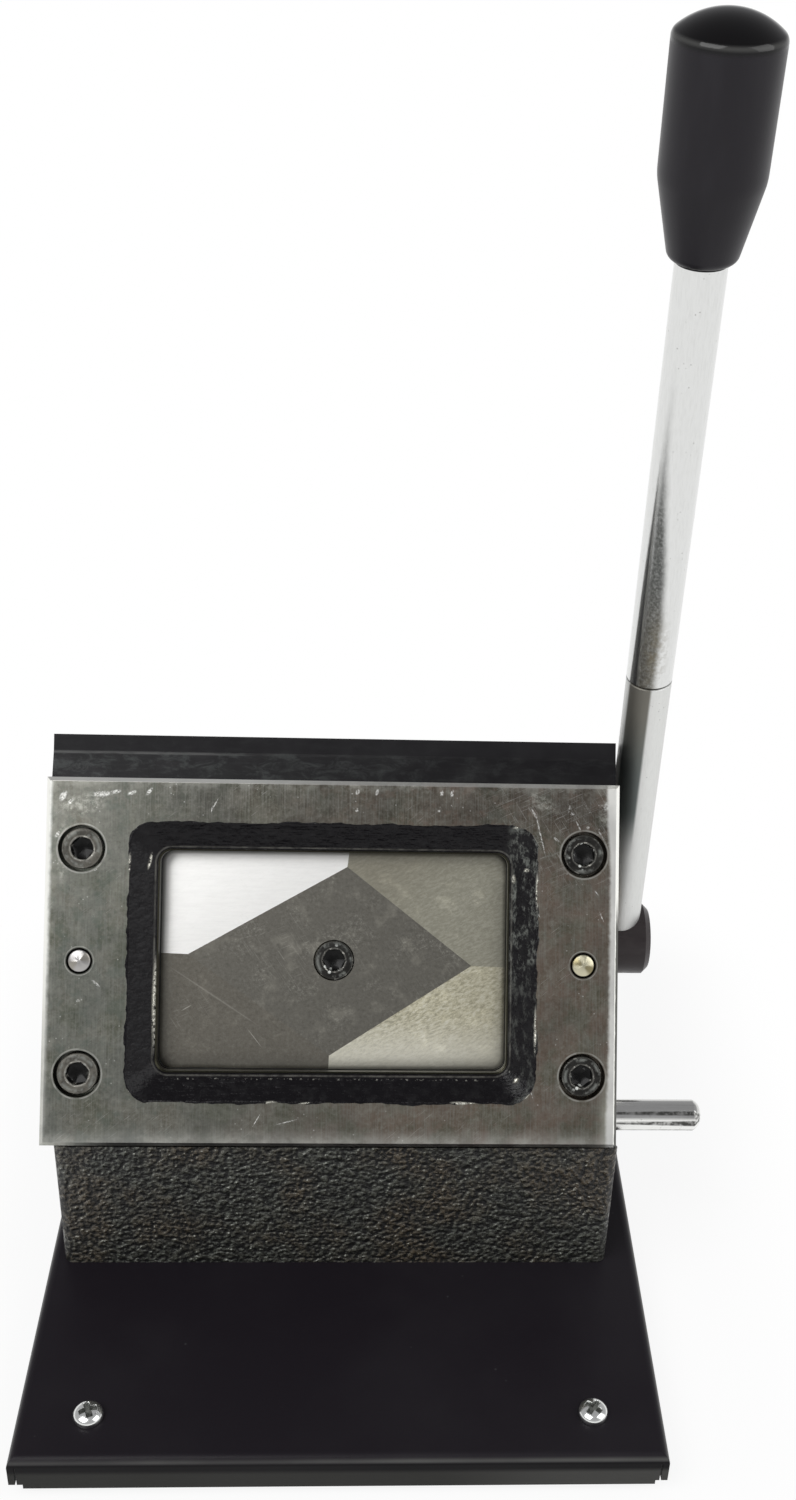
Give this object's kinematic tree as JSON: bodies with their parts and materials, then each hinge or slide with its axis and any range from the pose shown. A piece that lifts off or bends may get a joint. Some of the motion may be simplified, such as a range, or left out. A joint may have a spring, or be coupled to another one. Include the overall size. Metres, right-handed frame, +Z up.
{
  "type": "pvc id card cutter",
  "caption": "Hand lever press that punches card-size blanks from plastic sheet through a leaning die plate, on a folded sheet metal tray.",
  "frame": {"origin": "on the table top, in the middle of the rectangle that the machine covers", "axes": "+Z up, -Y out of the front, +X to the side that carries the lever"},
  "size_m": [0.167, 0.204, 0.3046],
  "materials": {
    "tray_paint": "satin black powder coat on sheet steel",
    "crinkle_paint": "crinkle black paint on cast iron",
    "ground_steel": "ground, oiled, lightly worn",
    "dark_plate": "black oxide, dusty",
    "dark_screws": "black oxide",
    "bright_screws": "bright zinc plate",
    "polished_steel": "polished",
    "rod_chrome": "hard chrome",
    "shaft_steel": "blackened",
    "ram_iron": "ground, oiled",
    "bronze": "machined bearing bronze",
    "grip_plastic": "moulded, soft gloss",
    "rubber": "moulded"
  },
  "bodies": {
    "frame": {"base_tray": "tray_paint", "rubber_feet": "rubber", "tray_screws": "bright_screws", "tray_nuts": "bright_screws", "body_bolts": "dark_screws", "body_washers": "dark_screws", "body_casting": "crinkle_paint", "guide_plate": "dark_plate", "spacer_left": "dark_plate", "spacer_right": "dark_plate", "die_plate": "ground_steel", "die_screws": "dark_screws", "dowel_pins": "polished_steel", "bush_right": "bronze", "bush_left": "bronze", "thrust_washer": "bronze", "stop_pin": "polished_steel"},
    "lever": {"eccentric_shaft": "shaft_steel", "retaining_ring": "dark_screws", "lever_rod_lower": "rod_chrome", "lever_rod_upper": "rod_chrome", "rod_stud": "dark_screws", "grip_insert": "bronze", "grip": "grip_plastic"},
    "ram_and_punch": {"ram": "ram_iron", "punch": "ground_steel", "punch_screw": "dark_screws"}
  },
  "joints": [
    {"name": "lever_swing", "type": "hinge", "parent": "frame", "child": "lever", "pos_m": [0.06673, 0.03411, 0.05925], "axis": [1, 0, 0], "range_deg": [0, 89.88]},
    {"name": "punch_stroke", "type": "slide", "parent": "frame", "child": "ram_and_punch", "axis": [0, -0.8396, 0.5432], "range_m": [0, 0.007]}
  ],
  "couplings": [
    {"joint": "punch_stroke", "follows": "lever_swing", "m_per_rad": 0.0044623}
  ]
}
